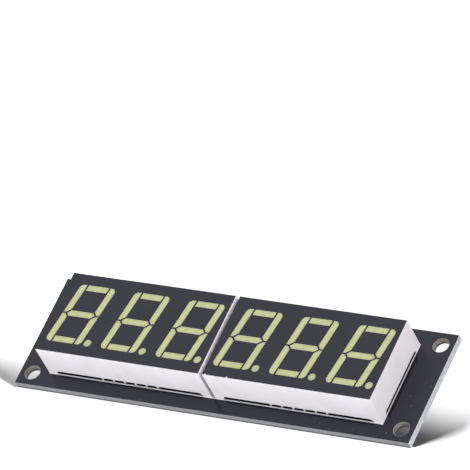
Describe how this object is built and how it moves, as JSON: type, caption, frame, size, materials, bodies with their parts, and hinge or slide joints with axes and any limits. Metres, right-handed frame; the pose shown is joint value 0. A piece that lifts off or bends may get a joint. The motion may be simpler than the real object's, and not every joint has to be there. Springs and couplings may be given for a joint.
{
  "type": "seven segment display module",
  "caption": "Flat numeric display module: seven segment LED displays side by side on a circuit board with corner mounting holes and a rear pin header.",
  "frame": {"origin": "centre of the four mounting holes on the board's underside", "axes": "+X along the digits to the right, +Y to the top of the digits, +Z out of the display face"},
  "size_m": [0.09, 0.029, 0.0121],
  "materials": {
    "board": "semi-gloss black solder mask over glass-epoxy laminate",
    "housing": "white moulded plastic, satin",
    "face_film": "matt black film",
    "segment_resin": "pale yellow-green diffusing resin",
    "led_board": "bare laminate",
    "led_die": "semiconductor",
    "potting": "cast resin",
    "tinned": "tinned wire",
    "solder": "bright solder",
    "chip_plastic": "moulded black epoxy, finely textured",
    "header_plastic": "black moulded plastic",
    "gold": "gold-flashed brass",
    "resistor": "black glazed overcoat",
    "ceramic": "tan ceramic"
  },
  "bodies": {
    "root": {"circuit_board": "board", "left_housing": "housing", "right_housing": "housing", "left_face_film": "face_film", "right_face_film": "face_film", "digit_1_segments": "segment_resin", "digit_2_segments": "segment_resin", "digit_3_segments": "segment_resin", "digit_4_segments": "segment_resin", "digit_5_segments": "segment_resin", "digit_6_segments": "segment_resin", "left_decimal_points": "segment_resin", "right_decimal_points": "segment_resin", "left_led_board": "led_board", "right_led_board": "led_board", "left_led_dies": "led_die", "right_led_dies": "led_die", "left_potting": "potting", "right_potting": "potting", "left_display_pins": "tinned", "right_display_pins": "tinned", "left_pin_joints": "solder", "right_pin_joints": "solder", "driver_chip_body": "chip_plastic", "driver_chip_leads": "tinned", "header_insulator": "header_plastic", "header_pins": "gold", "resistor_bodies": "resistor", "resistor_ends": "tinned", "capacitor_bodies": "ceramic", "capacitor_ends": "tinned", "surface_solder": "solder"}
  },
  "joints": []
}
